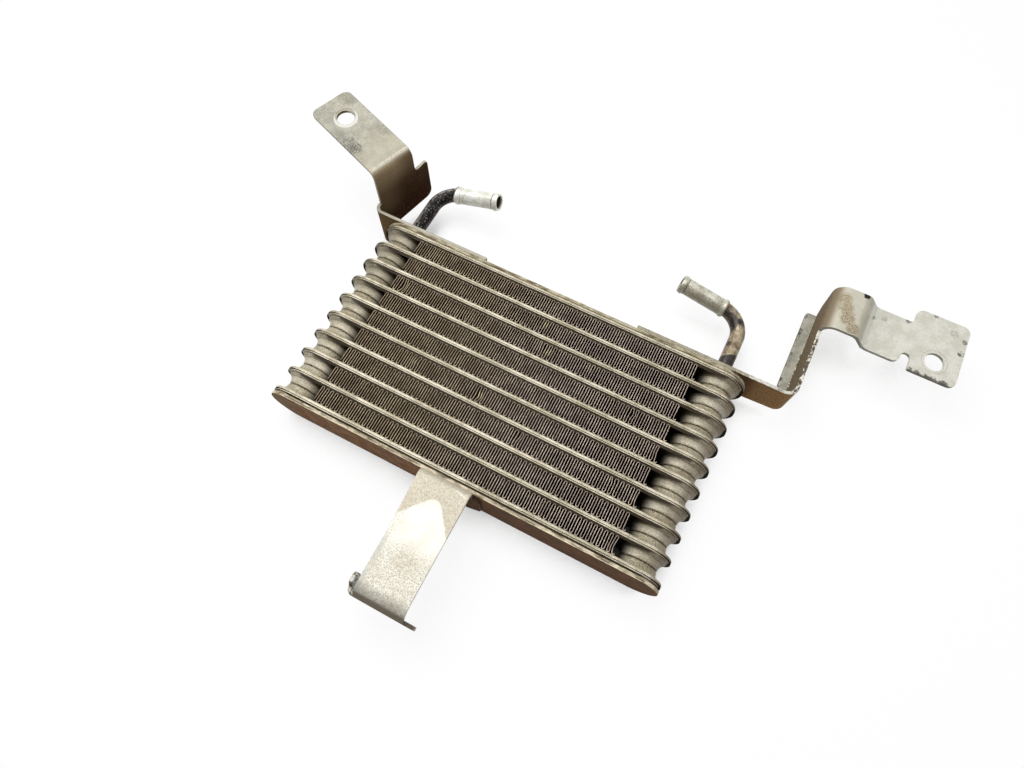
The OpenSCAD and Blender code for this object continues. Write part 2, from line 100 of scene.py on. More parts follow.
class Finish:
    """A procedural material. Each method adds nodes and gives the socket that they end in."""

    def __init__(self, name, roughness=0.5, metallic=0.0, specular=0.5):
        self.material = bpy.data.materials.new(name)
        self.material.use_nodes = True
        self.tree = self.material.node_tree
        self.surface = self.tree.nodes["Principled BSDF"]
        self.put("Roughness", roughness)
        self.put("Metallic", metallic)
        self.put("Specular IOR Level", specular)
        self.geometry = self.tree.nodes.new("ShaderNodeNewGeometry")
        self.point = self.tree.nodes.new("ShaderNodeTexCoord").outputs["Object"]
        self.x, self.y, self.z = self.parts(self.point)
        self.face_x, self.face_y, self.face_z = self.parts(self.geometry.outputs["Normal"])

    def feed(self, socket, value):
        if isinstance(value, bpy.types.NodeSocket):
            self.tree.links.new(value, socket)
        else:
            socket.default_value = value

    def put(self, name, value):
        self.feed(self.surface.inputs[name], value)

    def parts(self, vector):
        """The x, y and z of a vector."""
        node = self.tree.nodes.new("ShaderNodeSeparateXYZ")
        self.tree.links.new(vector, node.inputs[0])
        return node.outputs

    def math(self, operation, a, b=0.0):
        node = self.tree.nodes.new("ShaderNodeMath")
        node.operation = operation
        self.feed(node.inputs[0], a)
        self.feed(node.inputs[1], b)
        return node.outputs[0]

    def vector_math(self, operation, a, b=None):
        """A vector, or a number for the operations that end in one."""
        node = self.tree.nodes.new("ShaderNodeVectorMath")
        node.operation = operation
        self.tree.links.new(a, node.inputs[0])
        if b is not None:
            node.inputs[1].default_value = b
        return node.outputs["Value" if operation in ("DISTANCE", "DOT_PRODUCT", "LENGTH") else "Vector"]

    def plus(self, value, other, amount):
        """A value with an amount of another one added."""
        return self.math("ADD", value, self.math("MULTIPLY", other, amount))

    def step(self, value, low, high):
        """0 where value is at low, 1 where it is at high, smooth between."""
        node = self.tree.nodes.new("ShaderNodeMapRange")
        node.interpolation_type = "SMOOTHSTEP"
        self.feed(node.inputs["Value"], value)
        node.inputs["From Min"].default_value = min(low, high)
        node.inputs["From Max"].default_value = max(low, high)
        node.inputs["To Min"].default_value = 0.0 if low < high else 1.0
        node.inputs["To Max"].default_value = 1.0 if low < high else 0.0
        return node.outputs[0]

    def band(self, value, start, full, fade, end):
        """Mask that rises from start to full and falls again from fade to end."""
        return self.overlap(self.step(value, start, full), self.step(value, end, fade))

    def along(self, axis, low, high, wobble, amount):
        """Mask from 0 at low to 1 at high millimetres from the core's middle, its border moved by wobble."""
        value = (self.x, self.y, self.z)[axis]
        if wobble is not None:
            value = self.plus(value, wobble, amount * MM)
        return self.step(value, CORE_MIDDLE[axis] + low * MM, CORE_MIDDLE[axis] + high * MM)

    def along_x(self, low, high, wobble=None, amount=0.0):
        return self.along(0, low, high, wobble, amount)

    def along_y(self, low, high, wobble=None, amount=0.0):
        return self.along(1, low, high, wobble, amount)

    def along_z(self, low, high, wobble=None, amount=0.0):
        return self.along(2, low, high, wobble, amount)

    def grain(self, size, detail=3.0, rough=0.55, shift=(0.0, 0.0, 0.0), stretch=(1.0, 1.0, 1.0)):
        """Noise with features of about size millimetres."""
        mapping = self.tree.nodes.new("ShaderNodeMapping")
        self.tree.links.new(self.point, mapping.inputs["Vector"])
        mapping.inputs["Location"].default_value = shift
        mapping.inputs["Scale"].default_value = stretch
        node = self.tree.nodes.new("ShaderNodeTexNoise")
        self.tree.links.new(mapping.outputs[0], node.inputs["Vector"])
        node.inputs["Scale"].default_value = 1.0 / (size * MM)
        node.inputs["Detail"].default_value = detail
        node.inputs["Roughness"].default_value = rough
        return node.outputs[0]

    def mix(self, mask, a, b):
        """Colour a where the mask is 0 and colour b where it is 1."""
        node = self.tree.nodes.new("ShaderNodeMix")
        node.data_type = "RGBA"
        factor, colour_a, colour_b, colour_out = node.inputs[0], node.inputs[6], node.inputs[7], node.outputs[2]
        self.feed(factor, mask)
        self.feed(colour_a, a)
        self.feed(colour_b, b)
        return colour_out

    def paint(self, colour, new, mask, strength=None):
        """A colour with a new one laid over it where the mask is, at a strength of 0 to 1."""
        if strength is not None:
            mask = self.math("MULTIPLY", mask, strength)
        return self.mix(mask, colour, new)

    def overlap(self, first, *others):
        for mask in others:
            first = self.math("MULTIPLY", first, mask)
        return first

    def either(self, first, *others):
        for mask in others:
            first = self.math("MAXIMUM", first, mask)
        return first

    def without(self, mask):
        return self.math("SUBTRACT", 1.0, mask)

    def facing(self, x, y, z):
        """How far the surface faces a direction: 1 straight at it, 0 across."""
        return self.plus(self.plus(self.math("MULTIPLY", self.face_x, x), self.face_y, y), self.face_z, z)

    def spot(self, centre, radius, soft, wobble=None, amount=0.0):
        """Mask of 1 within radius millimetres of a place, its edge soft and moved by wobble."""
        reach = self.vector_math("DISTANCE", self.point, centre)
        if wobble is not None:
            reach = self.plus(reach, self.math("SUBTRACT", wobble, 0.5), amount * MM)
        return self.step(reach, (radius + soft / 2) * MM, (radius - soft / 2) * MM)

    def line(self, value, middle, width):
        """Mask of a soft line, width millimetres wide, where value is middle millimetres."""
        off = self.math("ABSOLUTE", self.math("SUBTRACT", value, middle * MM))
        return self.step(off, width * 0.7 * MM, width * 0.3 * MM)

    def pitch_turn(self):
        """Place within a tube pitch: 0 and 1 at the seam of a tube, 0.5 where two cups meet between tubes."""
        pitches_before = 40  # counted from far outside the core, so that no value is below 0
        first_seam = at(0, (TUBES - 1) * TUBE_PITCH / 2, 0).y - pitches_before * TUBE_PITCH * MM
        pitches = self.math("DIVIDE", self.math("SUBTRACT", self.y, first_seam), TUBE_PITCH * MM)
        return self.math("FRACT", pitches)

    def from_mouth(self, mount):
        """Distance in from the plane of a hose mouth, along its axis."""
        reach = self.vector_math("DOT_PRODUCT", self.point, AXES[mount])
        return self.math("SUBTRACT", MOUNTS[mount].dot(AXES[mount]), reach)

    def from_axis(self, mount):
        """Distance from the axis of a hose mouth."""
        offset = self.vector_math("SUBTRACT", self.point, MOUNTS[mount])
        return self.vector_math("LENGTH", self.vector_math("CROSS_PRODUCT", offset, AXES[mount]))

    def matte_where(self, mask, level):
        """Sets a specular level that falls to none where the mask is."""
        self.put("Specular IOR Level", self.math("MULTIPLY", self.without(mask), level))

    def finished(self, colour, size, detail, strength, depth):
        """The material with its colour and a fine relief, its grain and depth in millimetres."""
        self.put("Base Color", colour)
        node = self.tree.nodes.new("ShaderNodeBump")
        node.inputs["Strength"].default_value = strength
        node.inputs["Distance"].default_value = depth * MM
        self.feed(node.inputs["Height"], self.grain(size, detail, 0.7))
        self.put("Normal", node.outputs[0])
        return self.material


def mottle(f, pale, grey, size=9.0, shift=(0.0, 0.0, 0.0)):
    """Two tones of weathered sheet in soft patches, with the wide and the fine grain that go with them."""
    wide = f.grain(size, 5.0, 0.65, shift)
    fine = f.grain(0.8, 3.0, 0.7, shift)
    colour = f.mix(f.step(wide, 0.38, 0.62), pale, grey)
    return colour, wide, fine


def tube_finish():
    """Brazed tube plates: grey beige with dark specks and black seams, painted black shade in the recesses,
    painted brown shade on the undersides, and a painted highlight on the cups.
    """
    f = Finish("brazed_tube_aluminium", roughness=0.55, metallic=0.2)
    colour, wide, fine = mottle(f, tone(212, 203, 182), tone(176, 166, 142), 13.0)
    specks = f.overlap(f.step(fine, 0.50, 0.62), f.step(wide, 0.2, 0.6))
    colour = f.paint(colour, tone(112, 102, 80), specks, 0.75)
    pale = f.step(f.grain(0.7, 2.0, 0.6, (3.0, 0.0, 0.0)), 0.60, 0.68)
    colour = f.paint(colour, tone(240, 232, 212), pale, 0.55)
    turn = f.pitch_turn()
    from_joint = f.math("ABSOLUTE", f.math("SUBTRACT", turn, 0.5))  # 0 where two cups meet, 0.5 at a seam
    from_middle = f.math("ABSOLUTE", f.math("SUBTRACT", f.x, CORE_MIDDLE.x))
    behind = f.along_z(28.4, 27.2)
    above = f.step(turn, 0.49, 0.53)
    # The cups: a painted highlight above the joint, olive below it, darker towards the top left, and painted
    # shade towards the right.
    painted_highlight = f.overlap(above, f.band(from_joint, 0.07, 0.16, 0.22, 0.33), behind)
    colour = f.paint(colour, tone(222, 216, 198), painted_highlight, 0.25)
    olive = f.overlap(f.without(above), behind, f.step(from_joint, 0.36, 0.28))
    olive_tone = f.mix(f.step(fine, 0.42, 0.6), tone(172, 163, 134), tone(98, 90, 68))
    colour = f.paint(colour, olive_tone, olive, 0.5)
    top_left = f.overlap(f.along_x(-84, -98), f.along_y(4, 34), behind)
    colour = f.paint(colour, tone(96, 88, 66), top_left, 0.45)
    grit = f.step(f.grain(0.55, 3.0, 0.75, (0.0, 1.3, 0.0)), 0.50, 0.62)
    colour = f.paint(colour, tone(92, 82, 62), f.overlap(grit, behind), 0.45)
    # Painted shade on the right side of the row, faint, then stronger towards the tube ends.
    darkened = f.overlap(behind, f.along_x(70, 104))
    colour = f.paint(colour, tone(84, 74, 56), darkened, 0.12)
    shaded = f.overlap(behind, f.along_x(103, 116, wide, 4.0))
    colour = f.paint(colour, tone(112, 94, 72), shaded, 0.6)
    # Painted shade in the recess under each rim, stronger away from the tube ends.
    recess_shade = f.overlap(above, behind, f.step(f.plus(from_joint, wide, 0.04), 0.30, 0.37),
                       f.plus(0.1, f.step(from_middle, 107 * MM, 97 * MM), 0.7))
    colour = f.paint(colour, tone(58, 46, 32), recess_shade)
    # The rims, from the foot of the bevelled wall to the seam.
    slope_line = f.overlap(above, behind, f.band(from_joint, 0.288, 0.302, 0.312, 0.328),
                           f.step(fine, 0.30, 0.52))
    colour = f.paint(colour, tone(72, 62, 46), slope_line, 0.6)
    # Painted shade on the ledge under the rim, darker towards the tube ends.
    ledge = f.overlap(above, f.band(from_joint, 0.36, 0.375, 0.440, 0.452), f.along_z(27.0, 27.6))
    ledge_shade = f.mix(f.step(from_middle, 84 * MM, 96 * MM), tone(112, 96, 74), tone(34, 26, 18))
    colour = f.paint(colour, ledge_shade, ledge, 0.85)
    # The seam is a dark joint; towards the tube ends it widens into painted shade under the rim.
    widened = f.plus(from_joint, f.step(from_middle, 100 * MM, 115 * MM), 0.022)
    widened = f.plus(widened, f.along_x(-109, -113), 0.018)
    seam_and_shade = f.step(widened, 0.479, 0.491)
    colour = f.paint(colour, tone(24, 18, 13), seam_and_shade, 0.94)
    crease = f.overlap(f.step(from_joint, 0.06, 0.012), f.step(fine, 0.30, 0.60))
    colour = f.paint(colour, tone(62, 52, 38), crease, 0.85)
    # Painted shade: the black crest on the tip of a tube, where its edge turns from the light, and the dark
    # inside of the row behind the fins.
    tip = f.step(from_middle, 112.4 * MM, 114.6 * MM)
    crest_shade = f.overlap(above, f.step(f.plus(from_joint, tip, 0.048), 0.450, 0.462),
                      f.step(f.plus(from_middle, wide, 2 * MM), 111.0 * MM, 114.2 * MM))
    colour = f.paint(colour, tone(16, 12, 9), crest_shade, 0.96)
    f.matte_where(f.either(crest_shade, seam_and_shade, recess_shade), 0.35)
    inner = f.step(f.plus(from_middle, fine, 1.5 * MM), 96.5 * MM, 89.0 * MM)
    colour = f.paint(colour, tone(20, 14, 10), f.overlap(inner, behind), 0.96)
    return f.finished(colour, 0.6, 3.0, 0.5, 0.08)


def end_plate_finish():
    """End plates: brown outer faces, with painted brown shade on the one on the hook's side, and pale, streaked
    edges.
    """
    f = Finish("end_plate_aluminium", roughness=0.7, specular=0.05)
    colour, wide, fine = mottle(f, tone(214, 202, 176), tone(160, 148, 122), 6.0)
    pipe_side = f.along_y(-5, 5)
    pipe_side_tone = f.mix(f.step(wide, 0.38, 0.62), tone(184, 176, 152), tone(140, 132, 106))
    colour = f.paint(colour, pipe_side_tone, pipe_side)
    streaks = f.step(f.grain(2.2, 3.0, 0.7, stretch=(0.2, 1.0, 1.0)), 0.47, 0.60)
    colour = f.paint(colour, tone(74, 60, 42), f.overlap(streaks, f.along_z(25.5, 28)), 0.75)
    from_middle = f.math("ABSOLUTE", f.math("SUBTRACT", f.y, CORE_MIDDLE.y))
    lip = f.overlap(f.step(from_middle, (OUTER_Y - 0.5) * MM, (OUTER_Y - 0.25) * MM), f.along_z(28.9, 29.3),
                    f.step(f.grain(6.0, 3.0, 0.7, stretch=(0.6, 1.0, 1.0)), 0.36, 0.50),
                    f.plus(0.85, pipe_side, -0.45))
    colour = f.paint(colour, tone(246, 236, 214), lip)
    outer = f.overlap(f.step(f.face_y, 0.30, 0.75), f.along_z(29, 27))
    outer_tone = f.mix(f.step(wide, 0.35, 0.65), tone(150, 138, 116), tone(128, 108, 84))
    colour = f.paint(colour, outer_tone, outer, 0.6)
    # The outer face on the hook's side is painted brown shade, in blotches, and olive towards its left end.
    shaded_face = f.step(f.face_y, -0.30, -0.75)
    brown = f.mix(f.step(wide, 0.35, 0.65), tone(136, 106, 70), tone(114, 74, 54))
    blotch = f.grain(4.5, 4.0, 0.7, (0.0, 0.0, 0.9), (0.6, 1.0, 1.0))
    dark_brown = f.mix(f.step(blotch, 0.40, 0.60), tone(110, 72, 46), tone(78, 60, 38))
    brown = f.paint(brown, dark_brown, f.along_x(-10, 30))
    brown = f.paint(brown, tone(96, 78, 50), f.step(blotch, 0.52, 0.66), 0.35)
    brown = f.paint(brown, tone(124, 100, 72), f.step(fine, 0.55, 0.68), 0.5)
    brown = f.paint(brown, tone(116, 100, 72), f.along_x(-97, -108), 0.6)
    colour = f.paint(colour, brown, shaded_face)
    pit = f.spot(at(-94.5, -OUTER_Y, 16.1), 1.2, 0.8, f.grain(1.0), 0.6)
    colour = f.paint(colour, tone(34, 22, 16), f.overlap(pit, shaded_face))
    return f.finished(colour, 0.8, 3.0, 0.4, 0.08)


# Damaged places of the fins: x, y and radius.
CRUSHED_FINS = (
    (86.3, 1.6, 3.0), (86.5, -26.4, 2.6), (85.5, -52.9, 3.4), (-50.5, -12.1, 1.8), (18.7, -23.2, 1.6),
    (6.1, 28.9, 1.6), (-80.9, 25.8, 1.6))
FOLDED_FINS = ((10.6, 26.1, 2.0), (2.0, 40.3, 1.7), (-10.9, -13.3, 1.6))


def fin_finish():
    """Thin fins: pinkish grey along both open edges, paler at the turns, and painted black shade between them,
    browner towards the left.
    """
    f = Finish("fin_aluminium", roughness=0.6, metallic=0.1, specular=0.25)
    back, front = at(0, 0, 0.6).z, at(0, 0, CORE_DEPTH - 0.15).z
    inward = f.math("MINIMUM", f.math("SUBTRACT", front, f.z), f.math("SUBTRACT", f.z, back))
    true_z = f.parts(f.geometry.outputs["True Normal"])[2]
    on_edge = f.step(f.math("ABSOLUTE", true_z), 0.35, 0.7)
    wide = f.grain(9.0, 3.0, 0.6)
    fine = f.grain(0.9, 2.0, 0.6)
    turn = f.pitch_turn()
    crown = f.step(f.math("ABSOLUTE", f.math("SUBTRACT", turn, 0.5)), 0.29, 0.345)
    crushed = f.either(*[f.spot(at(x, y, FIN_FACE), radius, 2.0) for x, y, radius in CRUSHED_FINS])
    folded = f.either(*[f.spot(at(x, y, FIN_FACE), radius, 1.6, fine, 1.5) for x, y, radius in FOLDED_FINS])
    right = f.along_x(-50, 40)
    dim = f.mix(right, tone(150, 133, 108), tone(168, 151, 140))
    edge = f.mix(f.step(wide, 0.38, 0.62), dim, f.mix(right, tone(186, 169, 140), tone(210, 192, 176)))
    edge = f.paint(edge, tone(210, 194, 166), crown, 0.6)
    edge = f.paint(edge, tone(110, 95, 82), f.step(fine, 0.42, 0.58), 0.45)
    edge = f.paint(edge, tone(226, 210, 168), folded, 0.7)
    # Painted shade on the upper turns, under the tube above.
    edge = f.paint(edge, tone(84, 68, 52), f.step(turn, 0.77, 0.86), 0.6)
    # Painted shade between the fins: darker deeper in, with brown stripes towards the left.
    slit_pitch = 1.15 * MM
    slits = f.step(f.math("SINE", f.math("MULTIPLY", f.y, 2 * math.pi / slit_pitch)), -0.2, 0.6)
    deep = f.mix(slits, tone(8, 5, 4), f.mix(right, tone(48, 35, 24), tone(7, 4, 4)))
    wall = f.mix(f.step(inward, 0.2 * MM, 1.4 * MM), f.mix(right, tone(70, 55, 39), tone(14, 9, 8)), deep)
    wall = f.paint(wall, tone(120, 108, 92), f.overlap(crushed, f.step(inward, 4.0 * MM, 1.5 * MM)))
    wall = f.paint(wall, tone(178, 160, 124), f.overlap(folded, f.step(inward, 5.0 * MM, 1.0 * MM)))
    f.put("Base Color", f.mix(f.overlap(on_edge, f.step(inward, 1.5 * MM, 0.8 * MM)), wall, edge))
    return f.material


# Scuffs on the left tab: x, y, radius, strength and tone.
LEFT_SCUFFS = (
    (-146.0, 80.3, 5.5, 0.8, (92, 90, 80)), (-141.0, 79.0, 4.5, 0.85, (78, 74, 66)),
    (-155.0, 82.5, 5.0, 0.7, (114, 114, 104)), (-134.0, 99.0, 4.2, 0.75, (106, 108, 102)),
    (-166.5, 110.0, 5.0, 0.6, (122, 118, 104)), (-173.5, 93.5, 4.5, 0.6, (130, 128, 116)),
    (-160.0, 87.0, 5.0, 0.35, (150, 150, 138)), (-134.0, 75.5, 2.5, 0.5, (110, 106, 96)))


def left_bracket_finish():
    """Left bracket: mottled grey tab with dark scuffs and a worn ring, and painted brown shade on the upright
    plate.
    """
    f = Finish("left_bracket_sheet", metallic=0.1)
    colour, wide, fine = mottle(f, tone(174, 171, 156), tone(151, 149, 136), 7.0)
    colour = f.paint(colour, tone(128, 124, 110), f.step(fine, 0.50, 0.62), 0.6)
    scuff_edge = f.grain(3.0, 4.0, 0.7)
    for x, y, radius, strength, shade in LEFT_SCUFFS:
        mask = f.overlap(f.spot(at(x, y, LEFT_TAB), radius, 4.0, scuff_edge, 9.0), f.step(fine, 0.36, 0.56))
        colour = f.paint(colour, tone(*shade), mask, strength)
    colour = f.paint(colour, tone(168, 160, 138), f.along_x(-140, -127, wide, 8.0), 0.4)
    # The worn ring round the bolt hole lies a little off the hole's centre, with a painted highlight on its
    # lower right and painted shade on its upper left rim.
    hole = MOUNTS["left_bolt_hole"]
    washer = f.spot(hole + Vector((0.5, -0.5, 0)) * MM, 7.2, 0.5, scuff_edge, 0.8)
    worn = f.overlap(washer, f.without(f.spot(hole + Vector((-0.6, 0.6, 0)) * MM, 6.0, 0.5)))
    colour = f.paint(colour, tone(206, 205, 196), worn, 0.85)
    ring_shade = f.overlap(f.math("SUBTRACT", f.spot(hole, 6.9, 0.6, scuff_edge, 1.2), worn),
                         f.without(f.spot(hole, 6.0, 0.4)))
    colour = f.paint(colour, tone(104, 102, 92), ring_shade, 0.55)
    # The upright plate faces the pipes: painted shade, pale under the fold, then brown to nearly black.
    slant = f.facing(0.936, -0.352, 0.0)
    inner = f.step(slant, 0.45, 0.85)
    sway = f.math("SUBTRACT", wide, 0.5)
    shade = f.mix(f.along_z(54, 33, sway, 8.0), tone(150, 132, 104), tone(66, 49, 34))
    shade = f.paint(shade, tone(64, 44, 30), f.along_y(84, 98, wide, 10.0), 0.6)
    shade = f.paint(shade, tone(50, 28, 18), f.along_z(34, 14, sway, 8.0))
    near_side = f.overlap(f.along_y(86, 72), f.along_z(12, 26))
    shade = f.paint(shade, tone(134, 114, 88), near_side, 0.4)
    shade = f.paint(shade, tone(110, 88, 62), f.step(fine, 0.50, 0.62), 0.4)
    colour = f.paint(colour, shade, inner)
    # A painted highlight along the bend of the fold.
    fold_highlight = f.overlap(f.band(slant, 0.10, 0.28, 0.42, 0.62), f.along_z(51, 53), f.step(fine, 0.66, 0.50))
    colour = f.paint(colour, tone(212, 202, 182), fold_highlight, 0.65)
    # Painted brown shade on the faces turned to the core.
    core_side_shade = f.overlap(f.step(f.face_y, -0.5, -0.85), f.along_y(70, 66))
    colour = f.paint(colour, tone(104, 84, 58), core_side_shade)
    f.matte_where(f.either(inner, core_side_shade), 0.3)
    return f.finished(colour, 1.4, 4.0, 0.35, 0.1)


# Rust on the right bracket's shoulder: x, y, z and radius.
RUST = (
    (143.2, 128.5, 36.0, 3.6), (145.5, 122.5, 36.6, 4.0), (148.0, 116.5, 36.6, 4.0), (152.0, 111.5, 36.6, 3.4))
# Chips along the edges of the right tab: x, y, size and strength.
RIGHT_CHIPS = (
    (162.2, 128.5, 1.6, 0.6), (180.0, 135.5, 1.8, 0.7), (192.6, 146.5, 2.2, 0.6), (211.0, 136.5, 1.6, 0.75),
    (210.8, 128.5, 2.0, 0.85), (188.0, 107.0, 1.7, 0.7), (192.3, 106.2, 2.4, 0.75), (197.4, 106.5, 1.7, 0.85),
    (200.6, 106.1, 2.8, 0.8), (206.4, 106.2, 2.9, 0.8), (204.6, 139.2, 3.0, 0.25), (168.0, 131.0, 2.0, 0.25))


def right_bracket_finish():
    """Right bracket: pale tab with chipped edges, rust on the shoulder, and painted brown shade on the foot."""
    f = Finish("right_bracket_sheet", metallic=0.1)
    colour, wide, fine = mottle(f, tone(215, 213, 202), tone(198, 197, 184), 7.0, (0.4, 0.0, 0.0))
    colour = f.paint(colour, tone(168, 166, 152), f.step(fine, 0.50, 0.64), 0.45)
    shoulder = f.overlap(f.along_z(31, 36), f.along_x(158, 150))
    colour = f.paint(colour, tone(186, 180, 160), shoulder, 0.6)
    # A painted shadow on the slope of the joggle.
    joggle_shadow = f.overlap(f.along_x(152.5, 155), f.along_x(160.5, 158), f.along_z(28, 29))
    colour = f.paint(colour, tone(150, 142, 122), joggle_shadow, 0.55)
    rust_edge = f.grain(2.2, 4.0, 0.75)
    dust = f.step(f.grain(0.42, 3.0, 0.8, (0.0, 0.0, 0.6)), 0.50, 0.55)
    for x, y, z, radius in RUST:
        patch = f.spot(at(x, y, z), radius, 3.0, rust_edge, 5.0)
        colour = f.paint(colour, tone(176, 158, 122), patch, 0.5)
        colour = f.paint(colour, tone(92, 72, 44), f.overlap(patch, dust))
    for x, y, size, strength in RIGHT_CHIPS:
        chip = f.spot(at(x, y, RIGHT_TAB), size * 0.8, 1.0, rust_edge, 4.5)
        mask = f.overlap(chip, f.step(rust_edge, 0.62, 0.50))
        colour = f.paint(colour, tone(52, 50, 44), mask, strength)
    near_rim = f.overlap(f.along_y(107.3, 106.3), f.along_x(184, 187),
                         f.step(f.grain(3.0, 3.0, 0.7, (0.3, 0.0, 0.0)), 0.38, 0.50))
    colour = f.paint(colour, tone(74, 72, 62), near_rim, 0.8)
    deep_chip = f.spot(at(153.5, 135.2, RIGHT_SHOULDER), 1.9, 0.7, rust_edge, 2.5)
    colour = f.paint(colour, tone(44, 34, 28), deep_chip)
    hole = MOUNTS["right_bolt_hole"]
    worn = f.math("SUBTRACT", f.spot(hole, 7.2, 0.6, rust_edge, 0.8), f.spot(hole, 6.7, 0.4, rust_edge, 0.8))
    colour = f.paint(colour, tone(128, 126, 116), worn, 0.3)
    # Painted shade on the side faces of the tab that turn away from the lamps.
    side = f.overlap(f.step(f.face_y, -0.45, -0.8), f.along_y(92, 98))
    colour = f.paint(colour, tone(92, 88, 74), side, 0.7)
    # The upright plate has painted brown shade on the side of the core, lighter higher up, and its front edge
    # is chipped.
    inner = f.overlap(f.step(f.face_x, -0.30, -0.80), f.along_y(66, 70), f.along_x(148, 144))
    shade = f.mix(f.step(fine, 0.40, 0.62), tone(124, 110, 90), tone(94, 80, 62))
    shade = f.paint(shade, tone(146, 132, 110), f.along_z(26, 38))
    colour = f.paint(colour, shade, inner)
    upward = f.step(f.face_z, 0.5, 0.8)
    flange = f.overlap(upward, f.along_z(14, 12))
    colour = f.paint(colour, f.mix(f.step(wide, 0.4, 0.6), tone(176, 174, 160), tone(150, 148, 134)), flange)
    chips = f.overlap(f.along_x(133.4, 132.2), f.step(f.grain(3.2, 4.0, 0.75, (0.1, 0.0, 0.0)), 0.50, 0.56))
    colour = f.paint(colour, tone(58, 56, 50), f.overlap(flange, chips), 0.85)
    edge = f.overlap(upward, f.along_x(136.4, 137.2), f.along_x(140.2, 139.2), f.along_y(104, 100))
    flecks = f.step(f.grain(2.0, 3.0, 0.7), 0.50, 0.56)
    colour = f.paint(colour, f.mix(flecks, tone(88, 78, 64), tone(224, 220, 206)), edge)
    # The foot has painted brown shade below, darker near the core, and is darker along its front edge.
    low = f.overlap(f.step(f.face_y, -0.25, -0.75), f.along_y(78, 70))
    brown = f.mix(f.step(fine, 0.42, 0.62), tone(152, 120, 84), tone(112, 84, 54))
    brown = f.paint(brown, tone(56, 36, 26), f.along_x(122, 112), 0.7)
    colour = f.paint(colour, brown, low)
    f.matte_where(f.either(low, inner), 0.3)
    top = f.overlap(upward, f.along_y(68, 65))
    colour = f.paint(colour, tone(110, 100, 84), f.overlap(top, f.step(rust_edge, 0.45, 0.6)), 0.7)
    darkened = f.mix(f.step(fine, 0.42, 0.6), tone(152, 143, 118), tone(112, 100, 78))
    colour = f.paint(colour, darkened, f.overlap(top, f.along_x(118, 104)), 0.75)
    return f.finished(colour, 1.2, 4.0, 0.35, 0.1)


# Pale dots in a row beside the hook's root: x and y.
HOOK_DOTS = ((5.6, -65.4), (6.9, -65.7), (8.3, -66.0), (9.6, -66.3), (10.8, -66.7))


def hook_finish():
    """Hook bracket: nearly white tab with dark specks, beige at its root, and painted grey shade at its curl.
    """
    f = Finish("hook_bracket_sheet", roughness=0.45, metallic=0.1)
    colour, wide, fine = mottle(f, tone(230, 228, 217), tone(219, 216, 203), 8.0, (0.0, 0.7, 0.0))
    haze_grain = f.grain(1.9, 4.0, 0.8, (0.9, 0.0, 0.0))
    haze = f.overlap(f.step(haze_grain, 0.42, 0.60), f.along_y(-97, -108))
    colour = f.paint(colour, tone(190, 182, 160), haze, 0.55)
    specks = f.step(f.grain(0.75, 3.0, 0.75, (0.2, 0.0, 0.0)), 0.51, 0.59)
    specked = f.either(f.along_y(-92, -106), f.math("MULTIPLY", f.along_x(-6, -15), 0.8))
    colour = f.paint(colour, tone(146, 136, 116), f.overlap(specks, specked), 0.75)
    dirty = f.overlap(f.spot(at(0.5, -107, HOOK_TAB), 6.0, 6.0, wide, 8.0), f.step(fine, 0.42, 0.6))
    colour = f.paint(colour, tone(170, 152, 126), dirty, 0.6)
    # The pale patch ends in a corner: one border runs left and down, the other right and down.
    ragged = f.math("SUBTRACT", f.grain(5.0, 3.0, 0.6), 0.5)
    borders = []
    for x, y, slope in ((-14.6, -87.4, 1.22), (0.8, -73.3, -1.33)):
        rise = f.math("MULTIPLY", f.math("SUBTRACT", f.x, at(x, 0, 0).x), slope)
        border = f.math("SUBTRACT", rise, f.math("SUBTRACT", f.y, at(0, y, 0).y))
        borders.append(f.plus(border, ragged, 2.2 * MM))
    corner = f.math("SMOOTH_MIN", *borders)
    corner.node.inputs[2].default_value = 20 * MM
    patch = f.step(corner, -0.8 * MM, 0.8 * MM)
    root = f.overlap(f.along_y(-96, -90), f.without(patch))
    beige = f.mix(f.step(fine, 0.40, 0.60), tone(197, 190, 172), tone(170, 160, 138))
    colour = f.paint(colour, beige, root, 0.95)
    # Greyer along the left edge.
    grey_edge = f.overlap(f.along_x(-11.5, -14.2), f.along_y(-97, -102), f.step(wide, 0.36, 0.56))
    colour = f.paint(colour, tone(176, 176, 168), grey_edge, 0.6)
    for x, y in HOOK_DOTS:
        colour = f.paint(colour, tone(236, 234, 226), f.spot(at(x, y, HOOK_TAB), 0.5, 0.8, wide, 2.0), 0.5)
    # Painted shade on the curl: grey, and dark brown near its lip.
    colour = f.paint(colour, tone(126, 121, 110), f.along_y(-121.5, -130.5), 0.55)
    colour = f.paint(colour, tone(92, 80, 62), f.along_y(-128.0, -129.6), 0.85)
    ear = f.overlap(f.along_x(-15.3, -16.0), f.along_y(-118, -120))
    colour = f.paint(colour, f.mix(f.step(haze_grain, 0.46, 0.54), tone(92, 86, 74), tone(200, 196, 184)), ear)
    # Painted brown shade on the faces turned towards the hook's end, darker near the root.
    shaded_face = f.overlap(f.step(f.face_y, -0.55, -0.9), f.along_z(34, 28))
    colour = f.paint(colour, f.mix(f.along_y(-90, -70), tone(112, 96, 74), tone(64, 46, 32)), shaded_face)
    f.matte_where(shaded_face, 0.3)
    # Painted brown shade under the tab beside its root.
    inside = f.overlap(f.along_y(-70, -66), f.along_z(33, 31))
    colour = f.paint(colour, f.mix(f.step(wide, 0.4, 0.6), tone(92, 68, 50), tone(66, 44, 34)), inside)
    return f.finished(colour, 1.2, 4.0, 0.3, 0.08)


# Dark lines round a nipple: distance in from its mouth, width and strength.
NIPPLE_LINES = ((3.5, 0.5, 0.75), (9.0, 0.25, 0.2), (22.0, 0.3, 0.35), (23.4, 0.3, 0.35), (25.3, 0.4, 0.6))


